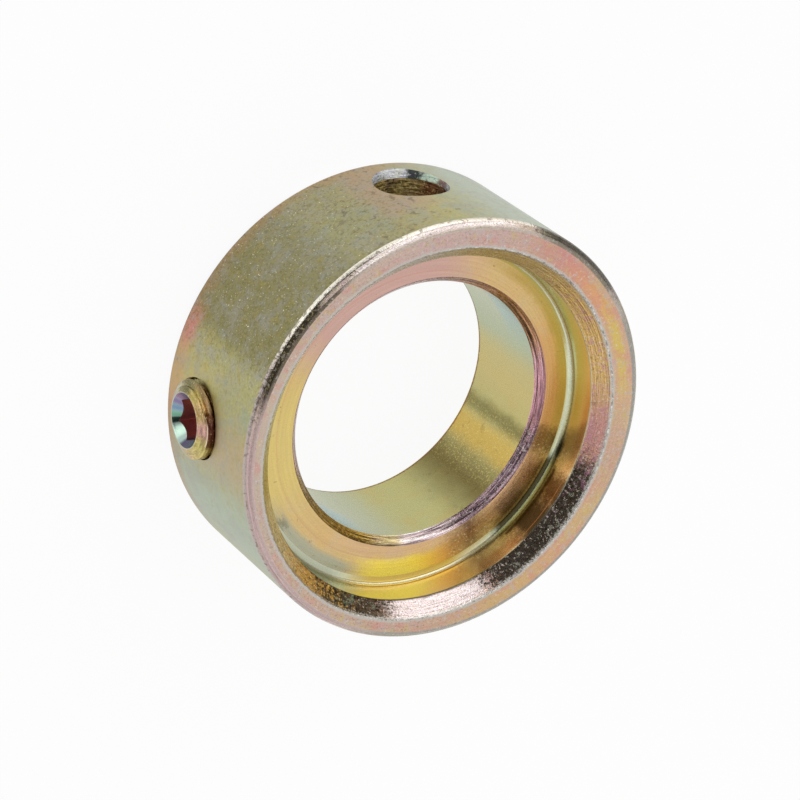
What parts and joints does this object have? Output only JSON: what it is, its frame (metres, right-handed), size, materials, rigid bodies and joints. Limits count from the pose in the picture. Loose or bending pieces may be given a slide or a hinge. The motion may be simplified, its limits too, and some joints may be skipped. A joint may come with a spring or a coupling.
{
  "type": "eccentric locking collar",
  "caption": "Steel locking ring with an eccentric recess, a hexagon-socket set screw and a blind drift hole, for clamping a bearing's inner ring on a round shaft.",
  "frame": {"origin": "centre of the bore at the plain back face, on which the ring lies", "axes": "+Z along the shaft towards the recessed front, +X outwards along the set screw, drift hole towards -Y"},
  "size_m": [0.0342, 0.0333, 0.0135],
  "materials": {
    "collar_steel": "turned steel with an iridescent yellow chromate over zinc",
    "screw_steel": "threaded steel with a darker iridescent yellow chromate over zinc"
  },
  "bodies": {
    "collar": {"collar": "collar_steel"},
    "set_screw": {"set_screw": "screw_steel"}
  },
  "joints": [
    {"name": "set_screw_travel", "type": "slide", "parent": "collar", "child": "set_screw", "axis": [1, 0, 0], "range_m": [-0.0015, 0.00375]}
  ]
}
